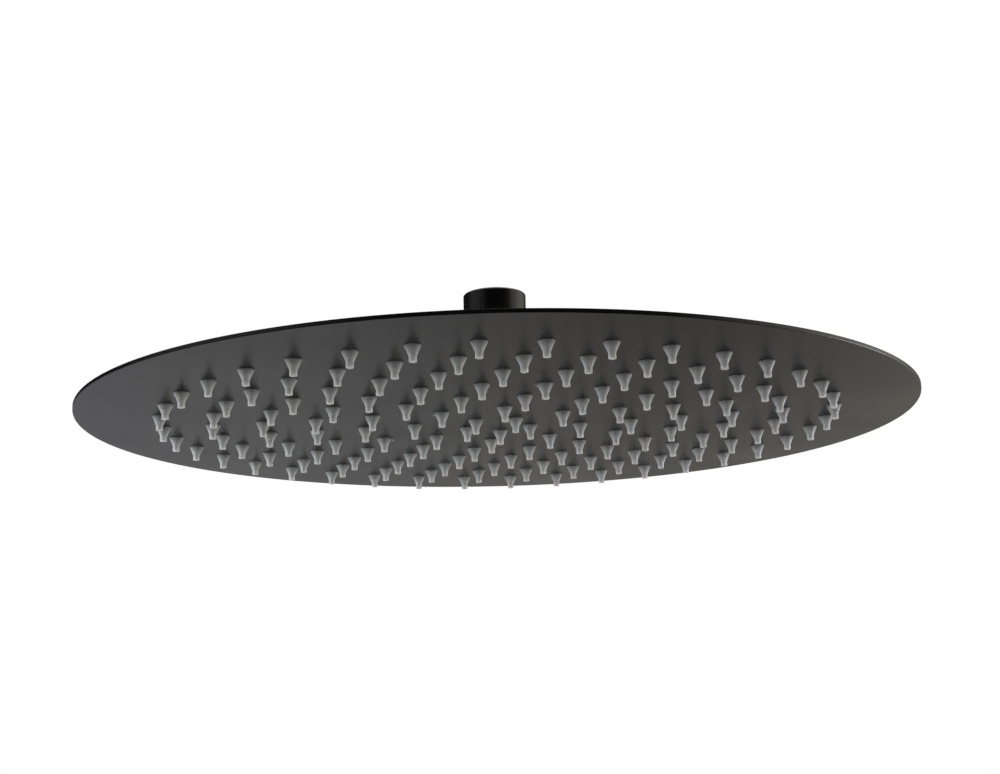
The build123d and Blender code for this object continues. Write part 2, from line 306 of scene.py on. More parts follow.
def arc(middle: Corner, radius: float, start_deg: float, end_deg: float, steps: int) -> list[Corner]:
    """Points of an arc in an outline, with its angles counted from outwards towards up."""
    angles = [radians(start_deg + (end_deg - start_deg) * i / steps) for i in range(steps + 1)]
    return [(middle[0] + radius * cos(a), middle[1] + radius * sin(a)) for a in angles]


def closed_loop(mesh: BMesh, outline: Sequence[Corner]) -> list[BMVert | BMEdge]:
    """Draw a closed outline of radii and heights in millimetres, and give its points and edges."""
    corners = [mesh.verts.new((r * MM, 0.0, z * MM)) for r, z in outline]
    return corners + [mesh.edges.new(pair) for pair in zip(corners, corners[1:] + corners[:1])]


def turned(outline: Sequence[Corner], segments: int, edge_mm: float = 0.0, sharp_deg: float = 35.0) -> BMesh:
    """Spin a closed outline about the upright axis and round its edges.

    Args:
        outline: Radius and height of each corner, in millimetres.
        segments: Steps of the full turn.
        edge_mm: Width of the rounding, or 0 for none.
        sharp_deg: Edges that turn by more than this are rounded.

    Returns:
        A closed mesh in metres, with its faces outwards.
    """
    mesh = bmesh.new()
    loop = closed_loop(mesh, outline)
    bmesh.ops.spin(mesh, geom=loop, cent=(0, 0, 0), axis=(0, 0, 1), angle=tau, steps=segments,
                   use_merge=True, use_duplicate=False)
    tidy(mesh)
    if edge_mm:
        limit = radians(sharp_deg)
        sharp = [e for e in mesh.edges if e.is_manifold and e.calc_face_angle(0.0) > limit]
        round_edges(mesh, sharp, edge_mm)
    return mesh


def tidy(mesh: BMesh) -> None:
    """Merge doubled points and turn all faces outwards."""
    bmesh.ops.remove_doubles(mesh, verts=mesh.verts, dist=MERGE_MM * MM)
    bmesh.ops.recalc_face_normals(mesh, faces=mesh.faces)


def round_edges(mesh: BMesh, edges: list[BMEdge], width_mm: float, steps: int = 2) -> None:
    """Round some edges of a mesh over a width."""
    bmesh.ops.bevel(mesh, geom=edges, offset=width_mm * MM, offset_type="OFFSET", segments=steps, profile=0.5,
                    affect="EDGES", clamp_overlap=True, material=-1)


def mill_flats(mesh: BMesh, across_mm: float, top_mm: float) -> None:
    """Mill two spanner flats into the lower end of a round piece, square to Y.

    Args:
        mesh: Mesh to change.
        across_mm: Width between the flats.
        top_mm: Height at which the flats end in a ledge.
    """
    half, top, near = across_mm / 2 * MM, top_mm * MM, MERGE_MM * MM
    cuts = [((0, 0, top), (0, 0, 1))]
    cuts += [((0, side * half, 0), (0, 1, 0)) for side in (-1, 1)]
    for point, normal in cuts:
        everything = mesh.verts[:] + mesh.edges[:] + mesh.faces[:]
        bmesh.ops.bisect_plane(mesh, geom=everything, dist=near, plane_co=point, plane_no=normal)
    middles = {face: face.calc_center_median() for face in mesh.faces}
    chips = [face for face, middle in middles.items() if abs(middle.y) > half and middle.z < top]
    bmesh.ops.delete(mesh, geom=chips, context="FACES")
    for side in (-1, 1):
        rim = [e for e in mesh.edges if e.is_boundary and e.verts[0].co.y * side > 0]
        arc_edges = [e for e in rim if all(abs(v.co.z - top) < near for v in e.verts)]
        flat_edges = [e for e in rim if e not in arc_edges]
        corners = {v for e in arc_edges for v in e.verts} & {v for e in flat_edges for v in e.verts}
        chord = mesh.edges.new(tuple(corners))
        for border in (arc_edges, flat_edges):
            bmesh.ops.contextual_create(mesh, geom=[*border, chord])
    tidy(mesh)


# Scene helpers


class NodeSize(NamedTuple):
    """Highest and lowest height of a round CAD node and its largest radius, in millimetres."""

    top: float
    low: float
    radius: float


def node_size(name: str) -> NodeSize:
    """Read the size of a round CAD node from the frame."""
    low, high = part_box(name)
    return NodeSize(high.z / MM, low.z / MM, high.x / MM)


def to_data(mesh: BMesh, name: str) -> bpy.types.Mesh:
    """Write a mesh to a data block of its own.

    Args:
        mesh: Mesh to write, freed here.
        name: The data block's name.

    Returns:
        The data block.
    """
    data = bpy.data.meshes.new(name)
    mesh.to_mesh(data)
    mesh.free()
    return data


def add_object(name: str, data: bpy.types.ID) -> Object:
    """Put a new object in the scene.

    Args:
        name: The object's name.
        data: Its mesh, light or camera.

    Returns:
        The object.
    """
    made = bpy.data.objects.new(name, data)
    bpy.context.scene.collection.objects.link(made)
    return made


def to_piece(mesh: BMesh, name: str, body: Body, finish: Finish, node: str) -> Object:
    """Turn a mesh into a finished piece that rides on a body and stands for a CAD node.

    Args:
        mesh: Finished mesh in metres, freed here.
        name: The piece's name.
        body: Body that it moves with.
        finish: Its surface.
        node: CAD node that it stands for.

    Returns:
        The new object.
    """
    for face in mesh.faces:
        face.smooth = True
    data = to_data(mesh, name)
    data.set_sharp_from_angle(angle=radians(SHARP_DEG))
    data.materials.append(finish.material())
    piece = add_object(name, data)
    weighted = piece.modifiers.new("flat_faces_stay_flat", "WEIGHTED_NORMAL")
    weighted.keep_sharp = True
    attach(piece, body.value)
    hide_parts(node)
    LOG.info("%s on %s: %d faces", name, body.value, len(data.polygons))
    return piece


def dress_node(name: str, finish: Finish) -> None:
    """Give a CAD node that keeps its own shape its finish.

    Args:
        name: The node's name.
        finish: Its surface.
    """
    node = frame["nodes"][name]
    node.data.materials.clear()
    node.data.materials.append(finish.material())
    LOG.info("%s keeps its solid", name)


# Sub-assemblies


@dataclass(frozen=True)
class FlashNib:
    """Thin tongue of moulding flash that was left on the base of one nozzle.

    Attributes:
        ring: The nozzle's ring, counted from 1.
        nozzle: The nozzle's place in the ring, counted from 0.
        way_deg: Direction in which the nib points across the face.
        droop_deg: Angle by which it hangs away from the face.
        taper: Width of each of its steps as a share of the step before.
    """

    ring: int
    nozzle: int
    way_deg: float
    droop_deg: float
    reach_mm: float
    taper: float = 0.82
    steps: int = 3

    def grow(self, mesh: BMesh, faces: Iterable[BMFace], stand: Matrix, foot: Corner) -> None:
        """Pull the nib out of the flare beside the nozzle's base, before the nozzle is put in its place.

        Args:
            mesh: Mesh of the ring.
            faces: Faces of the nozzle.
            stand: Matrix that will put the nozzle on the face.
            foot: Radius and height on the nozzle at which the nib starts, in millimetres.
        """
        turn = radians(self.way_deg)
        way = stand.to_3x3().inverted() @ Vector((cos(turn), sin(turn), 0.0))
        way.z = 0.0
        way.normalize()
        start = (way * foot[0] + Vector((0, 0, foot[1]))) * MM
        face = min(faces, key=lambda f: (f.calc_center_median() - start).length)
        for step in range(1, self.steps + 1):
            droop = radians(self.droop_deg) * step / self.steps
            move = way * cos(droop) + Vector((0, 0, sin(droop)))
            face = bmesh.ops.extrude_discrete_faces(mesh, faces=[face])["faces"][0]
            bmesh.ops.translate(mesh, verts=face.verts, vec=move * self.reach_mm * MM / self.steps)
            middle = Matrix.Translation(-face.calc_center_median())
            bmesh.ops.scale(mesh, verts=face.verts, vec=(self.taper,) * 3, space=middle)


@dataclass
class NozzleRings:
    """The grey rubber nozzles, in rings that all start at the same angle.

    Attributes:
        counts: Nozzles in each ring, from the middle.
        start_deg: Angle of each ring's first nozzle.
        sag_mm: Depth of the hollow in the flare between base and tip.
        end_tone: Painted shade of the cut end, given as the share of the length at whose colour the end is
            drawn, so it is darker than the tip.
        lean_deg: Most that a soft nozzle stands out of true.
    """

    counts: tuple[int, ...] = (5, 8, 14, 20, 26, 32, 38)
    first_ring_mm: float = 14.1
    ring_pitch_mm: float = 21.05
    start_deg: float = 229.8
    base_mm: float = 6.3
    tip_mm: float = 2.8
    length_mm: float = 5.92
    land_mm: float = 0.18
    tip_length_mm: float = 2.06
    sag_mm: float = 0.08
    hole_mm: float = 4.4
    head_over_mm: float = 0.65
    head_mm: float = 1.2
    jet_mm: float = 1.1
    mouth_mm: float = 2.6
    lip_mm: float = 0.1
    end_tone: float = 0.5
    gap_mm: float = 0.02
    flare_spans: int = 5
    lean_deg: float = 1.2
    nibs: tuple[FlashNib, ...] = (
        FlashNib(2, 0, 180, 50, 1.0),
        FlashNib(3, 11, 0, 35, 1.4),
        FlashNib(4, 3, 180, 5, 0.9),
    )
    segments: int = 20
    seed: int = 11

    def places(self, ring: int) -> list[Corner]:
        """Positions of a ring's nozzles across the face.

        Args:
            ring: The ring, counted from 0.

        Returns:
            X and Y of each nozzle, in millimetres.
        """
        radius = self.first_ring_mm + ring * self.ring_pitch_mm
        count = self.counts[ring]
        start = radians(self.start_deg)
        angles = [start + tau * i / count for i in range(count)]
        return [(radius * cos(a), radius * sin(a)) for a in angles]

    def outline(self, sheet_mm: float) -> list[Corner]:
        """Outline of one nozzle, with the face's outer skin at height 0 and the tip upwards.

        Args:
            sheet_mm: Thickness of the face that the nozzle is buttoned into.

        Returns:
            The closed outline, from the inlet's mouth along the outside to the jet.
        """
        base, tip, jet, lip = self.base_mm / 2, self.tip_mm / 2, self.jet_mm / 2, self.lip_mm
        neck, mouth = self.hole_mm / 2 - self.gap_mm, self.mouth_mm / 2
        head = self.hole_mm / 2 + self.head_over_mm
        head_low = -sheet_mm - self.gap_mm
        inlet = head_low - self.head_mm
        flare_end = self.length_mm - self.tip_length_mm
        flare = []
        for i in range(1, self.flare_spans):
            share = i / self.flare_spans
            hollow = self.sag_mm * 4 * share * (1 - share)
            radius = base + (tip - base) * share - hollow
            flare.append((radius, self.land_mm + (flare_end - self.land_mm) * share))
        return [
            (mouth, inlet), (head, inlet), (head, head_low), (neck, head_low), (neck, self.gap_mm),
            (base, self.gap_mm), (base, self.land_mm), *flare, (tip, flare_end),
            (tip, self.length_mm - lip), (tip - lip, self.length_mm), (jet + lip, self.length_mm),
            (jet, self.length_mm - lip), (jet, flare_end),
        ]

    def build(self, plate: "SprayPlate") -> None:
        """Model and place the nozzles, one piece a ring.

        Args:
            plate: The plate that carries them.
        """
        chance = random.Random(self.seed)
        pattern = self._pattern(plate.face_sheet_mm)
        half_span = 1 / self.flare_spans / 2
        flare_mm = self.length_mm - self.tip_length_mm - self.land_mm
        narrowing = (self.base_mm - self.tip_mm) / 2
        foot = (self.base_mm / 2 - narrowing * half_span, self.land_mm + flare_mm * half_span)
        for ring in range(len(self.counts)):
            mesh = bmesh.new()
            for index, (x, y) in enumerate(self.places(ring)):
                known = set(mesh.verts)
                mesh.from_mesh(pattern)
                stand = plate.outward(x, y)
                for nib in self.nibs:
                    if (nib.ring, nib.nozzle) == (ring + 1, index):
                        faces = [f for f in mesh.faces if known.isdisjoint(f.verts)]
                        nib.grow(mesh, faces, stand, foot)
                fresh = [vert for vert in mesh.verts if vert not in known]
                turn = Matrix.Rotation(chance.uniform(0, tau), 4, "Z")
                lean = Matrix.Rotation(radians(chance.uniform(0, self.lean_deg)), 4, "X")
                bmesh.ops.transform(mesh, matrix=stand @ turn @ lean @ turn.inverted(), verts=fresh)
            name = f"nozzles_ring_{ring + 1}"
            to_piece(mesh, f"rubber_{name}", Body.HEAD, GREY_SILICONE, name)
        bpy.data.meshes.remove(pattern)

    def _pattern(self, sheet_mm: float) -> bpy.types.Mesh:
        """Turn one nozzle, with each point's share of the length as a value of its own.

        Args:
            sheet_mm: Thickness of the face.

        Returns:
            Mesh of the nozzle, tip upwards.
        """
        nozzle = turned(self.outline(sheet_mm), self.segments)
        along = nozzle.verts.layers.float.new(ALONG)
        end = (self.length_mm - self.lip_mm / 2) * MM
        for vert in nozzle.verts:
            share = max(0.0, vert.co.z / (self.length_mm * MM))
            # Painted shade: the cut end takes the colour of a point part way along the side, darker than the
            # tip
            vert[along] = self.end_tone if vert.co.z > end else share
        return to_data(nozzle, "nozzle_pattern")


@dataclass
class SprayPlate:
    """The crowned spray face and the pressed back that is welded to it around the rim.

    Attributes:
        edge_spare_mm: How far the visible rim stays inside the solid's.
        corner_deg: Edges of the rim that turn by more than this are its corners.
        press_share: Most of the way to the next bend that a bend's curve takes up.
        flat_z: Upward or downward share of a normal from which a face belongs to a skin.
        wall_z: The same share below which a face belongs to the rim's wall.
        rim_mm: Height of the face's outer edge.
        sphere_mm: Radius of the crown's sphere.
        middle_mm: Height of that sphere's middle.
    """

    face_sheet_mm: float = 0.7
    back_sheet_mm: float = 0.8
    crown_mm: float = 1.94
    rim_flange_mm: float = 9.0
    rim_round_mm: float = 0.25
    rim_steps: int = 3
    back_round_mm: float = 0.07
    back_steps: int = 4
    edge_spare_mm: float = 0.01
    corner_deg: float = 60.0
    pad_margin_mm: float = 2.0
    press_round_mm: float = 6.0
    press_share: float = 0.45
    press_steps: int = 5
    inlet_hole_mm: float = 15.1
    flat_z: float = 0.95
    wall_z: float = 0.1
    segments: int = 256
    hole_segments: int = 16
    radius_mm: float = field(init=False)
    rim_mm: float = field(init=False)
    sphere_mm: float = field(init=False)
    middle_mm: float = field(init=False)

    def __post_init__(self) -> None:
        """Take the plate's place from the solids and work out the crown's sphere."""
        solid = node_size("face_plate")
        self.radius_mm = solid.radius - self.edge_spare_mm
        self.rim_mm = solid.low + self.crown_mm
        self.sphere_mm = (self.radius_mm ** 2 + self.crown_mm ** 2) / (2 * self.crown_mm)
        self.middle_mm = solid.low + self.sphere_mm

    def height(self, radius: float, above: float = 0.0) -> float:
        """Height of the face's outer skin at a radius, or of a skin above it, in millimetres."""
        return self.middle_mm - sqrt((self.sphere_mm - above) ** 2 - radius ** 2)

    def outward(self, x: float, y: float) -> Matrix:
        """Matrix that sets a piece drawn upwards on the face's outer skin, pointing out of it.

        Args:
            x: Place across the face, in millimetres.
            y: The same along Y.

        Returns:
            The matrix, in metres.
        """
        point = Vector((x, y, self.height(hypot(x, y))))
        away = point - Vector((0, 0, self.middle_mm))
        return Matrix.Translation(point * MM) @ away.to_track_quat("Z", "Y").to_matrix().to_4x4()

    def build_face(self, nozzles: NozzleRings) -> None:
        """Model the crowned face with a hole under every nozzle.

        Args:
            nozzles: The nozzles that sit in the holes.
        """
        mesh = bmesh.new()
        bmesh.ops.create_circle(mesh, radius=self.radius_mm * MM, segments=self.segments)
        hole = nozzles.hole_mm / 2 * MM
        for ring in range(len(nozzles.counts)):
            for x, y in nozzles.places(ring):
                place = Matrix.Translation((x * MM, y * MM, 0))
                bmesh.ops.create_circle(mesh, radius=hole, segments=self.hole_segments, matrix=place)
        bmesh.ops.triangle_fill(mesh, edges=mesh.edges, use_beauty=True, normal=(0, 0, -1))
        for vert in mesh.verts:
            vert.co.z = self.height(hypot(vert.co.x, vert.co.y) / MM) * MM
        inner = bmesh.ops.extrude_face_region(mesh, geom=mesh.faces[:])["geom"]
        for vert in (item for item in inner if isinstance(item, BMVert)):
            vert.co.z += (self.face_sheet_mm + nozzles.gap_mm) * MM
        tidy(mesh)
        inside = (self.radius_mm - self.rim_round_mm) * MM
        half_way = (self.rim_mm + self.face_sheet_mm / 2) * MM
        rim = [e for e in mesh.edges if all(v.co.xy.length > inside for v in e.verts)]
        corners = [e for e in rim if e.calc_face_angle(0.0) > radians(self.corner_deg)]
        lower = [e for e in corners if sum(v.co.z for v in e.verts) / 2 < half_way]
        round_edges(mesh, lower, self.rim_round_mm, self.rim_steps)
        self._smooth_crown(to_piece(mesh, "spray_face", Body.HEAD, PLATE_PAINT, "face_plate"))

    def _smooth_crown(self, piece: Object) -> None:
        """Give the crowned skins the sphere's own normals and the rim's wall level ones.

        So long triangles don't show, and the wall isn't shaded as a part of its rounding.

        Args:
            piece: The spray face.
        """
        piece.modifiers.clear()
        data = piece.data
        middle = Vector((0, 0, self.middle_mm * MM))
        rim = (self.radius_mm - self.rim_round_mm) * MM
        normals = [Vector(corner.vector) for corner in data.corner_normals]
        for polygon in data.polygons:
            lift = polygon.normal.z
            side = -1.0 if lift > 0 else 1.0
            for index in polygon.loop_indices:
                point = data.vertices[data.loops[index].vertex_index].co
                if abs(lift) > self.flat_z:
                    normals[index] = (point - middle).normalized() * side
                elif abs(lift) < self.wall_z and point.xy.length > rim:
                    normals[index] = Vector((point.x, point.y, 0.0)).normalized()
        data.normals_split_custom_set(normals)

    def build_back(self) -> None:
        """Model the back: a flat pad, a shallow cone and a flange that follows the face."""
        pad_r = node_size("socket_neck").radius + self.pad_margin_mm
        pad_z = node_size("back_plate").top
        flange_r = self.radius_mm - self.rim_flange_mm
        edge_r = self.radius_mm - self.back_round_mm
        above = node_size("face_plate").top - self.rim_mm + self.back_sheet_mm
        top = self._pressed([
            (self.inlet_hole_mm / 2, pad_z), (pad_r, pad_z), (flange_r, self.height(flange_r, above)),
            (edge_r, self.height(edge_r, above)),
        ])
        low = [(r, z - self.back_sheet_mm) for r, z in top[:-1]]
        low.append((self.radius_mm, self.height(self.radius_mm, above - self.back_sheet_mm)))
        edge = arc((edge_r, top[-1][1] - self.back_round_mm), self.back_round_mm, 90, 0, self.back_steps)
        mesh = turned([*top[:-1], *edge, *reversed(low)], self.segments)
        to_piece(mesh, "pressed_back", Body.HEAD, PLATE_PAINT, "back_plate")

    def _pressed(self, corners: Sequence[Corner]) -> list[Corner]:
        """Round the bends of a pressed sheet with short curves.

        Args:
            corners: Radius and height of the bends, with the two ends.

        Returns:
            The outline with each inner corner replaced by a curve.
        """
        points = [corners[0]]
        for before, here, after in zip(corners, corners[1:], corners[2:]):
            ends = []
            for there in (before, after):
                span = dist(here, there)
                share = min(self.press_round_mm, span * self.press_share) / span
                ends.append((here[0] + (there[0] - here[0]) * share, here[1] + (there[1] - here[1]) * share))
            pulls = (ends[0], here, ends[1])
            for i in range(self.press_steps + 1):
                t = i / self.press_steps
                weights = ((1 - t) ** 2, 2 * t * (1 - t), t ** 2)
                radius, height = (sum(w * p[axis] for w, p in zip(weights, pulls)) for axis in (0, 1))
                points.append((radius, height))
        points.append(corners[-1])
        return points


@dataclass
class InletNut:
    """Round union nut with a half-inch pipe thread and two spanner flats.

    Attributes:
        lead_in_flare: How far the lead-in widens, as a share of its depth.
        fade_steps: Steps over which the thread's ridge rises from the wall at each end.
        runout_turns: Turns by which the ridge is shorter than the threaded bore.
        start_share: Pitches from the lead-in down to the middle of the ridge's start.
        root_share: Half the height of the ridge's root, in pitches.
        crest_share: The same for its crest.
        root_sink_mm: How far the root lies in the wall.
        crest_spare_mm: How far the crest stays outside the solid's bore.
        least_rise: Share of its full depth that the ridge has at its ends.
    """

    minor_mm: float = 18.631
    major_mm: float = 20.955
    pitch_mm: float = 1.814
    thread_mm: float = 11.5
    recess_mm: float = 21.2
    floor_mm: float = 3.5
    hole_mm: float = 13.3
    across_flats_mm: float = 24.0
    flat_height_mm: float = 8.0
    chamfer_mm: float = 0.6
    lead_in_mm: float = 0.7
    lead_in_flare: float = 0.6
    edge_mm: float = 0.12
    thread_steps: int = 48
    fade_steps: int = 16
    runout_turns: float = 0.7
    start_share: float = 0.45
    root_share: float = 0.47
    crest_share: float = 0.09
    root_sink_mm: float = 0.05
    crest_spare_mm: float = 0.02
    least_rise: float = 0.02
    segments: int = 128

    def build(self) -> None:
        """Model the nut with its thread as one piece."""
        _, low, outer = node_size("connector_nut")
        floor = low + self.floor_mm
        major, recess, hole = self.major_mm / 2, self.recess_mm / 2, self.hole_mm / 2
        mesh = turned([
            (major + self.lead_in_mm * self.lead_in_flare, 0.0), (outer - self.chamfer_mm, 0.0),
            (outer, -self.chamfer_mm), (outer, low + self.chamfer_mm), (outer - self.chamfer_mm, low),
            (hole, low), (hole, floor), (recess, floor), (recess, -self.thread_mm),
            (major, -self.thread_mm), (major, -self.lead_in_mm),
        ], self.segments, self.edge_mm, sharp_deg=20.0)
        mill_flats(mesh, self.across_flats_mm, low + self.flat_height_mm)
        ridge = self._thread_ridge()
        mesh.from_mesh(ridge)
        bpy.data.meshes.remove(ridge)
        to_piece(mesh, "threaded_nut", Body.INLET, BRASS_PAINT, "connector_nut")

    def _thread_ridge(self) -> bpy.types.Mesh:
        """Wind the thread's closed ridge around the bore, fading into the wall at both ends.

        Returns:
            Mesh of the ridge.
        """
        turns = (self.thread_mm - self.lead_in_mm) / self.pitch_mm - self.runout_turns
        steps = int(turns * self.thread_steps)
        root = self.major_mm / 2 + self.root_sink_mm
        crest = self.minor_mm / 2 + self.crest_spare_mm
        top = -self.lead_in_mm - self.start_share * self.pitch_mm
        upper = [(root, self.root_share), (crest, self.crest_share)]
        section = upper + [(r, -share) for r, share in reversed(upper)]
        ridge = bmesh.new()
        loop = closed_loop(ridge, [(r, top + share * self.pitch_mm) for r, share in section])
        sink = Vector((0, 0, -self.pitch_mm * MM / self.thread_steps))
        bmesh.ops.spin(ridge, geom=loop, cent=(0, 0, 0), axis=(0, 0, 1), dvec=sink,
                       angle=tau * steps / self.thread_steps, steps=steps, use_duplicate=False)
        bmesh.ops.holes_fill(ridge, edges=[e for e in ridge.edges if e.is_boundary])
        for vert in ridge.verts:
            done = (top * MM - vert.co.z) / self.pitch_mm / MM * self.thread_steps
            rise = max(self.least_rise, min(1.0, min(done, steps - done) / self.fade_steps))
            radius = vert.co.xy.length
            wanted = root * MM + (radius - root * MM) * rise
            vert.co.x *= wanted / radius
            vert.co.y *= wanted / radius
        bmesh.ops.recalc_face_normals(ridge, faces=ridge.faces)
        return to_data(ridge, "thread_ridge")


@dataclass
class Tail:
    """The flanged tailpiece in the nut, with its washer, woven screen and flow regulator.

    Attributes:
        wire_wave: Rise and fall of the screen's wires, as a share of their thickness.
    """

    tail_mm: float = 13.2
    bore_mm: float = 8.4
    flange_mm: float = 2.5
    shoulder_mm: float = 1.0
    spigot_mm: float = 6.1
    pocket_mm: float = 10.4
    pocket_depth_mm: float = 4.0
    washer_bore_mm: float = 12.0
    washer_lip_mm: float = 1.2
    wire_pitch_mm: float = 0.72
    wire_mm: float = 0.2
    wire_wave: float = 0.25
    groove_gap_mm: float = 0.02
    tail_edge_mm: float = 0.15
    washer_edge_mm: float = 0.18
    segments: int = 96

    def build(self) -> None:
        """Model the pieces that show through the inlet's mouth and below the nut."""
        self._build_tailpiece()
        self._build_washer()
        self._build_screen()
        dress_node("flow_regulator", GREY_PLASTIC)
        dress_node("regulator_ring", SEAL_RUBBER)

    def _build_tailpiece(self) -> None:
        """Turn the flanged tube."""
        top, low, flange_r = node_size("tailpiece")
        tail, bore, pocket = self.tail_mm / 2, self.bore_mm / 2, self.pocket_mm / 2
        spigot, spigot_top = tail - self.shoulder_mm, low + self.spigot_mm
        mesh = turned([
            (pocket, top), (flange_r, top), (flange_r, top - self.flange_mm), (tail, top - self.flange_mm),
            (tail, spigot_top), (spigot, spigot_top), (spigot, low), (bore, low),
            (bore, top - self.pocket_depth_mm), (pocket, top - self.pocket_depth_mm),
        ], self.segments, self.tail_edge_mm)
        to_piece(mesh, "turned_tailpiece", Body.STEM, TURNED_BRASS, "tailpiece")

    def _build_washer(self) -> None:
        """Mould the flat washer with the screen's groove."""
        top, low, outer = node_size("inlet_washer")
        screen = node_size("filter_screen")
        bore = self.washer_bore_mm / 2
        groove = bore + self.washer_lip_mm
        groove_low, groove_top = screen.low - self.groove_gap_mm, screen.top + self.groove_gap_mm
        mesh = turned([
            (bore, top), (outer, top), (outer, low), (bore, low), (bore, groove_low), (groove, groove_low),
            (groove, groove_top), (bore, groove_top),
        ], self.segments, self.washer_edge_mm)
        to_piece(mesh, "moulded_washer", Body.STEM, SEAL_RUBBER, "inlet_washer")

    def _build_screen(self) -> None:
        """Weave the grit screen: a lattice of wires that pass over and under each other."""
        top, low, radius = node_size("filter_screen")
        cells = int(2 * radius / self.wire_pitch_mm)
        half = cells * self.wire_pitch_mm / 2 * MM
        place = Matrix.Translation((0, 0, (top + low) / 2 * MM))
        mesh = bmesh.new()
        bmesh.ops.create_grid(mesh, x_segments=cells, y_segments=cells, size=half, matrix=place)
        outside = [v for v in mesh.verts if v.co.xy.length > (radius - self.wire_mm) * MM]
        bmesh.ops.delete(mesh, geom=outside, context="VERTS")
        pitch = self.wire_pitch_mm * MM
        for vert in mesh.verts:
            column = round((vert.co.x + half) / pitch)
            row = round((vert.co.y + half) / pitch)
            wave = 1 if (column + row) % 2 else -1
            vert.co.z += wave * self.wire_mm * self.wire_wave * MM
        bmesh.ops.wireframe(mesh, faces=mesh.faces[:], thickness=self.wire_mm * MM, use_replace=True,
                            use_boundary=True, use_even_offset=True)
        tidy(mesh)
        to_piece(mesh, "woven_screen", Body.STEM, STAINLESS, "filter_screen")


@dataclass
class SwivelJoint:
    """The ball, its seats and the collar and socket that hold it.

    Attributes:
        run_gap_mm: Gap in which a piece turns.
        seat_gap_mm: Gap between pieces that are fixed to each other.
        middle_mm: Height of the ball's middle.
    """

    ball_mm: float = 22.0
    ball_flat_mm: float = 13.7
    ball_bore_mm: float = 8.4
    ball_outlet_mm: float = 12.0
    spigot_mm: float = 11.24
    spigot_depth_mm: float = 6.12
    run_gap_mm: float = 0.05
    collar_lip_mm: float = 1.5
    collar_hole_mm: float = 18.83
    collar_bevel_mm: float = 3.5
    collar_thread_mm: float = 29.64
    collar_flat_mm: float = 33.0
    collar_flat_height_mm: float = 7.0
    socket_mm: float = 29.6
    socket_bore_mm: float = 24.4
    socket_floor_mm: float = 2.0
    outlet_mm: float = 15.14
    foot_mm: float = 1.6
    seat_gap_mm: float = 0.02
    ball_edge_mm: float = 0.12
    ring_edge_mm: float = 0.1
    collar_edge_mm: float = 0.25
    socket_edge_mm: float = 0.3
    ball_steps: int = 28
    seat_steps: int = 10
    segments: int = 128
    middle_mm: float = field(init=False)

    def __post_init__(self) -> None:
        """Take the ball's middle from the tilt joint."""
        tilt = next(joint for joint in frame["joints"] if joint["name"] == "ball_tilt")
        self.middle_mm = tilt["pos_m"][2] / MM

    def build(self) -> None:
        """Model the joint's pieces from the ball outwards."""
        self._build_ball()
        self._build_slip_ring()
        dress_node("ball_seat", ACETAL)
        dress_node("seat_ring", SEAL_RUBBER)
        self._build_collar()
        self._build_socket()

    def _build_ball(self) -> None:
        """Turn the bored ball."""
        radius, bore, spigot = self.ball_mm / 2, self.ball_bore_mm / 2, self.spigot_mm / 2
        top_deg = degrees(acos(self.ball_flat_mm / 2 / radius))
        low_deg = -degrees(acos(self.ball_outlet_mm / 2 / radius))
        skin = arc((0, self.middle_mm), radius, low_deg, top_deg, self.ball_steps)
        top, low = skin[-1][1], skin[0][1]
        step = top - self.spigot_depth_mm
        mesh = turned([*skin, (spigot, top), (spigot, step), (bore, step), (bore, low)],
                      self.segments, self.ball_edge_mm, sharp_deg=30.0)
        to_piece(mesh, "polished_ball", Body.STEM, BALL_CHROME, "swivel_ball")

    def _build_slip_ring(self) -> None:
        """Mould the upper seat, whose inner face follows the ball."""
        top, low, outer = node_size("slip_ring")
        hollow = self.ball_mm / 2 + self.run_gap_mm
        start, end = (degrees(asin((z - self.middle_mm) / hollow)) for z in (top, low))
        face = arc((0, self.middle_mm), hollow, start, end, self.seat_steps)
        mesh = turned([(outer, low), (outer, top), *face], self.segments, self.ring_edge_mm, sharp_deg=30.0)
        to_piece(mesh, "moulded_slip_ring", Body.SEATS, ACETAL, "slip_ring")

    def _build_collar(self) -> None:
        """Turn the collar with its bevelled shoulder, lip and spanner flats."""
        top, low, outer = node_size("retaining_collar")
        hole, thread = self.collar_hole_mm / 2, self.collar_thread_mm / 2
        slip = node_size("slip_ring").radius + self.run_gap_mm
        lip = top - self.collar_lip_mm
        step = node_size("socket_neck").top + self.seat_gap_mm
        mesh = turned([
            (hole, lip), (hole, top), (outer - self.collar_bevel_mm, top),
            (outer, top - self.collar_bevel_mm), (outer, low), (thread, low), (thread, step),
            (slip, step), (slip, lip),
        ], self.segments, self.collar_edge_mm, sharp_deg=16.0)
        mill_flats(mesh, self.collar_flat_mm, low + self.collar_flat_height_mm)
        to_piece(mesh, "turned_collar", Body.HEAD, BRASS_PAINT, "retaining_collar")

    def _build_socket(self) -> None:
        """Turn the socket with its foot."""
        top, low, foot = node_size("socket_neck")
        neck, bore, outlet = self.socket_mm / 2, self.socket_bore_mm / 2, self.outlet_mm / 2
        floor = low + self.socket_floor_mm
        mesh = turned([
            (outlet, low), (foot, low), (foot, low + self.foot_mm), (neck, low + self.foot_mm), (neck, top),
            (bore, top), (bore, floor), (outlet, floor),
        ], self.segments, self.socket_edge_mm)
        to_piece(mesh, "brazed_socket", Body.HEAD, BRASS_PAINT, "socket_neck")


# Studio


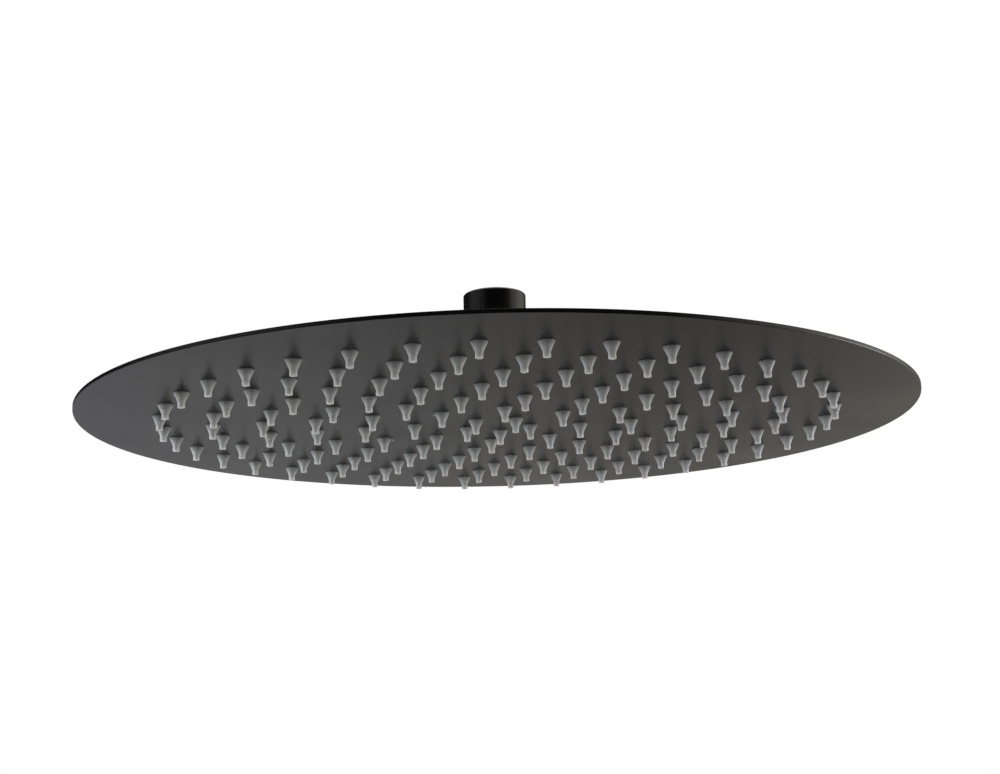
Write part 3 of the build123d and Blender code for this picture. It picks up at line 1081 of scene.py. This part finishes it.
@dataclass(frozen=True)
class Softbox:
    """One square soft light aimed at a point."""

    name: str
    place_m: Place
    aim_m: Place
    size_m: float
    watts: float
    reach: Reach = Reach.BOTH

    def build(self) -> None:
        """Add the light."""
        data = bpy.data.lights.new(self.name, "AREA")
        data.shape = "SQUARE"
        data.size = self.size_m
        data.energy = self.watts
        light = add_object(self.name, data)
        way = Vector(self.aim_m) - Vector(self.place_m)
        light.location = self.place_m
        light.rotation_mode = "QUATERNION"
        light.rotation_quaternion = way.to_track_quat("-Z", "Y")
        light.visible_camera = False
        light.visible_diffuse = self.reach is not Reach.SHEEN
        light.visible_glossy = self.reach is not Reach.FILL


@dataclass(frozen=True)
class Glow:
    """One bright patch of the studio's walls, seen from the part.

    Attributes:
        way: Direction from the part to the middle of the patch.
        full_deg: Half angle within which it has its full strength.
        end_deg: Half angle at which it has faded out.
        strength: Radiance at its middle.
        top_deg: Height above the horizon at which its upper edge has faded out.
        fade_deg: Height over which that edge fades.
    """

    way: Place
    full_deg: float
    end_deg: float
    strength: float
    top_deg: float = 90.0
    fade_deg: float = 14.0

    def add(self, nodes: Nodes, seen: NodeSocket, so_far: NodeSocket | float) -> NodeSocket:
        """Add this patch's light to what there is.

        Args:
            nodes: Nodes of the surroundings.
            seen: Direction that is looked in.
            so_far: Radiance of the patches before this one.

        Returns:
            Radiance with this patch.
        """
        inputs = {0: seen, 1: tuple(Vector(self.way).normalized())}
        nearness = nodes.add("VectorMath", inputs, "Value", operation="DOT_PRODUCT")
        cone = (cos(radians(self.end_deg)), cos(radians(self.full_deg)))
        patch = nodes.remap(nearness, cone, (0.0, self.strength), smooth=True)
        height = nodes.add("SeparateXYZ", {"Vector": seen}, "Z")
        band = (sin(radians(self.top_deg)), sin(radians(self.top_deg - self.fade_deg)))
        edge = nodes.remap(height, band, smooth=True)
        return nodes.add("Math", {0: patch, 1: edge, 2: so_far}, operation="MULTIPLY_ADD")


@dataclass
class Studio:
    """Pale floor, soft lights, white surroundings and the camera of the photograph.

    The camera stands in front of the plate and a little below it, and looks up at it.

    Attributes:
        floor_drop_m: Depth of the floor below the inlet's mouth.
        floor_m: Radius of the floor.
        floor_colour: Colour of the floor in the light that it throws back.
        floor_look: How bright the floor looks near the part.
        fade_m: Reach over which the floor's look goes over to the background's.
        distance_mm: From the middle of the rim's circle to the camera.
        below_deg: Angle at which the camera stands below that circle.
        near_m: Distance from which the camera sees things.
        gloom: Radiance of the studio's unlit walls.
        tint_span: Half width, in X of the direction, of the band in which one tint gives way to the other.
    """

    floor_drop_m: float = 1.4
    floor_m: float = 12.0
    floor_segments: int = 96
    floor_colour: str = "#c8c8c7"
    floor_look: float = 0.70
    fade_m: Span = (1.0, 9.0)
    focal_mm: float = 61.18
    sensor_mm: float = 36.0
    distance_mm: float = 720.7
    below_deg: float = 11.43
    pitch_deg: float = 12.547
    yaw_deg: float = 0.112
    roll_deg: float = -1.509
    near_m: float = 0.01
    background: float = 1.0
    gloom: float = 0.01
    left_tint: str = "#f9f9ff"
    right_tint: str = "#fff9ec"
    tint_span: float = 0.25
    glows: tuple[Glow, ...] = (
        Glow((0.97, 0.14, 0.21), 12.0, 50.0, 0.95),
        Glow((-0.93, -0.30, 0.21), 10.0, 40.0, 0.33),
        Glow((-0.48, 0.86, -0.13), 8.0, 48.0, 0.42, 9.0),
        Glow((0.68, 0.73, -0.02), 10.0, 40.0, 0.93, 6.0),
        Glow((0.09, 0.99, -0.01), 1.0, 11.0, 0.28),
        Glow((0.0, 0.1, 0.99), 25.0, 68.0, 1.0),
    )
    softboxes: tuple[Softbox, ...] = (
        Softbox("top_softbox", (0.3, 0.6, 1.9), (0.0, 0.0, -0.05), 1.6, 6.0),
        Softbox("left_fill", (-0.5, 0.04, -0.10), (0.0, 0.0, -0.06), 0.3, 1.9, Reach.FILL),
        Softbox("right_fill", (0.5, 0.08, -0.10), (0.0, 0.0, -0.06), 0.3, 1.25, Reach.FILL),
        Softbox("right_sheen", (1.5, 0.25, -0.20), (0.0, 0.0, -0.06), 0.6, 9.5, Reach.SHEEN),
    )

    def build(self, plate: SprayPlate) -> None:
        """Set up floor, lights, surroundings and camera.

        Args:
            plate: The plate that the camera looks at.
        """
        self._build_floor()
        for softbox in self.softboxes:
            softbox.build()
        self._build_world()
        self._build_camera(plate)

    def _build_floor(self) -> None:
        """Lay a pale floor, which looks white far off and throws back grey light, well below the part."""
        mesh = bmesh.new()
        place = Matrix.Translation((0, 0, -self.floor_drop_m))
        bmesh.ops.create_circle(mesh, cap_ends=True, radius=self.floor_m, segments=self.floor_segments,
                                matrix=place)
        floor = add_object("floor", to_data(mesh, "floor"))
        floor.visible_glossy = False
        paint = bpy.data.materials.new("pale_studio_floor")
        floor.data.materials.append(paint)
        nodes = Nodes(paint)
        spot = nodes.add("TexCoord", {}, "Object")
        reach = nodes.add("VectorMath", {0: spot}, "Value", operation="LENGTH")
        look = nodes.remap(reach, self.fade_m, (self.floor_look, self.background), smooth=True)
        matt = nodes.add("BsdfDiffuse", {"Color": linear(self.floor_colour)})
        nodes.end_split(matt, nodes.add("Emission", {"Strength": look}))

    def _build_world(self) -> None:
        """White background for the eye; for light, a studio that is bright at the sides and dark in front."""
        world = bpy.data.worlds.new("studio")
        bpy.context.scene.world = world
        nodes = Nodes(world)
        seen = nodes.add("TexCoord", {}, "Generated")
        light: NodeSocket | float = self.gloom
        for glow in self.glows:
            light = glow.add(nodes, seen, light)
        across = nodes.add("SeparateXYZ", {"Vector": seen}, "X")
        share = nodes.remap(across, (-self.tint_span, self.tint_span))
        tint = nodes.mix(share, linear(self.left_tint), linear(self.right_tint))
        room = nodes.add("Background", {"Color": tint, "Strength": light})
        white = nodes.add("Background", {"Color": linear("#ffffff"), "Strength": self.background})
        nodes.end_split(room, white)

    def _build_camera(self, plate: SprayPlate) -> None:
        """Stand the camera where the photograph was taken.

        Args:
            plate: The plate that it looks at.
        """
        data = bpy.data.cameras.new("camera")
        data.lens = self.focal_mm
        data.sensor_width = self.sensor_mm
        data.sensor_fit = "HORIZONTAL"
        data.clip_start = self.near_m
        camera = add_object("camera", data)
        below = radians(self.below_deg)
        reach = self.distance_mm * MM
        place = Vector((0.0, -reach * cos(below), plate.rim_mm * MM - reach * sin(below)))
        turn = Matrix.Identity(4)
        for angle, axis in ((-self.yaw_deg, "Z"), (90 + self.pitch_deg, "X"), (self.roll_deg, "Z")):
            turn = turn @ Matrix.Rotation(radians(angle), 4, axis)
        camera.matrix_world = Matrix.Translation(place) @ turn
        bpy.context.scene.camera = camera
        bpy.context.scene.view_settings.view_transform = "Standard"


def main() -> None:
    """Build, dress and light the shower head."""
    logging.basicConfig(level=logging.INFO, format="%(message)s")
    plate = SprayPlate()
    nozzles = NozzleRings()
    plate.build_face(nozzles)
    plate.build_back()
    nozzles.build(plate)
    InletNut().build()
    Tail().build()
    SwivelJoint().build()
    dress_node("stay_posts", STAINLESS)
    Studio().build(plate)


if __name__ == "__main__":
    main()
